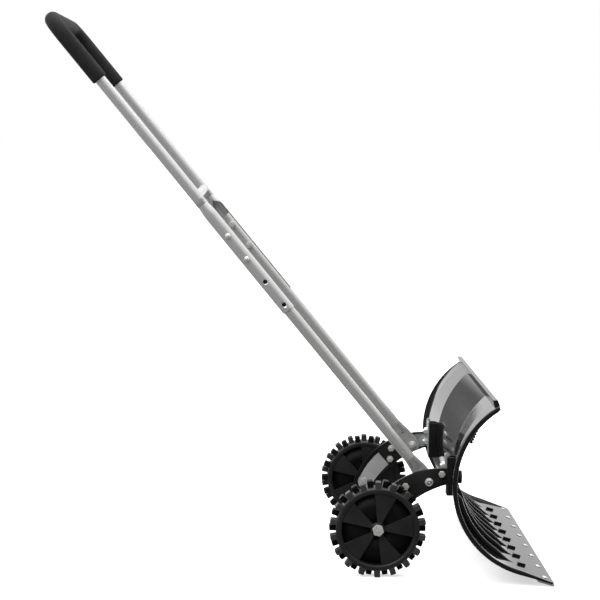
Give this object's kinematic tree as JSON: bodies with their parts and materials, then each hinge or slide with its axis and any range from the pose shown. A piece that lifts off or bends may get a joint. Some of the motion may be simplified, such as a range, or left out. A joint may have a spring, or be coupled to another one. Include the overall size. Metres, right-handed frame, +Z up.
{
  "type": "wheeled snow pusher",
  "caption": "Snow pusher with a dished, ribbed blade on two lugged wheels, curved side arms and a telescopic U-shaped handle with a foam grip.",
  "frame": {"origin": "on the ground under the middle of the machine's overall box", "axes": "+X forward to the cutting edge, +Y left along the axles, +Z up"},
  "size_m": [1.0012, 0.66, 1.0961],
  "materials": {
    "blade_plastic": "glossy moulded black",
    "cap_plastic": "satin moulded black",
    "wear_steel": "plain steel strip",
    "zinc_hardware": "bright zinc plated",
    "zinc_plate": "zinc plated sheet",
    "grey_plate": "satin grey",
    "black_steel": "black powder coat",
    "wheel_plastic": "satin moulded black",
    "bush_nylon": "natural nylon",
    "tube_aluminium": "satin silver tube",
    "grip_foam": "soft closed-cell foam"
  },
  "bodies": {
    "chassis": {"blade_moldboard": "blade_plastic", "cutting_edge": "wear_steel", "cutting_edge_rivets": "zinc_hardware", "bracket_bolts": "zinc_hardware", "blade_bolts": "zinc_hardware", "blade_nuts": "zinc_hardware", "blade_front_caps": "cap_plastic", "splice_bolts": "zinc_hardware", "splice_nuts": "zinc_hardware", "pivot_bolts": "zinc_hardware", "pivot_washers": "zinc_hardware", "pivot_nuts": "zinc_hardware", "axle_washers": "zinc_hardware", "axle_nuts": "zinc_hardware", "left_upright": "black_steel", "left_zinc_bracket": "zinc_plate", "left_arm": "black_steel", "left_inner_arm_plate": "grey_plate", "left_splice_filler": "black_steel", "left_splice_plate": "black_steel", "left_axle_bolt": "zinc_hardware", "left_wheel_spacer": "zinc_hardware", "right_upright": "black_steel", "right_zinc_bracket": "zinc_plate", "right_arm": "black_steel", "right_inner_arm_plate": "grey_plate", "right_splice_filler": "black_steel", "right_splice_plate": "black_steel", "right_axle_bolt": "zinc_hardware", "right_wheel_spacer": "zinc_hardware"},
    "left_wheel": {"left_wheel": "wheel_plastic", "left_wheel_bush": "bush_nylon"},
    "right_wheel": {"right_wheel": "wheel_plastic", "right_wheel_bush": "bush_nylon"},
    "lower_handle": {"left_lower_tube": "tube_aluminium", "right_lower_tube": "tube_aluminium", "height_bolts": "zinc_hardware", "height_nuts": "zinc_hardware"},
    "upper_handle": {"upper_handle_tube": "tube_aluminium", "handle_crossbar": "tube_aluminium", "foam_grip": "grip_foam"}
  },
  "joints": [
    {"name": "left_wheel_spin", "type": "hinge", "parent": "chassis", "child": "left_wheel", "pos_m": [0.15983, 0.252, 0.095], "axis": [0, 1, 0], "continuous": true},
    {"name": "right_wheel_spin", "type": "hinge", "parent": "chassis", "child": "right_wheel", "pos_m": [0.15983, -0.252, 0.095], "axis": [0, 1, 0], "continuous": true},
    {"name": "handle_tilt", "type": "hinge", "parent": "chassis", "child": "lower_handle", "pos_m": [0.26383, 0, 0.1785], "axis": [0, 1, 0], "range_deg": [-10, 45]},
    {"name": "handle_height", "type": "slide", "parent": "lower_handle", "child": "upper_handle", "axis": [-0.6388, 0, 0.7694], "range_m": [0, 0.116]}
  ]
}
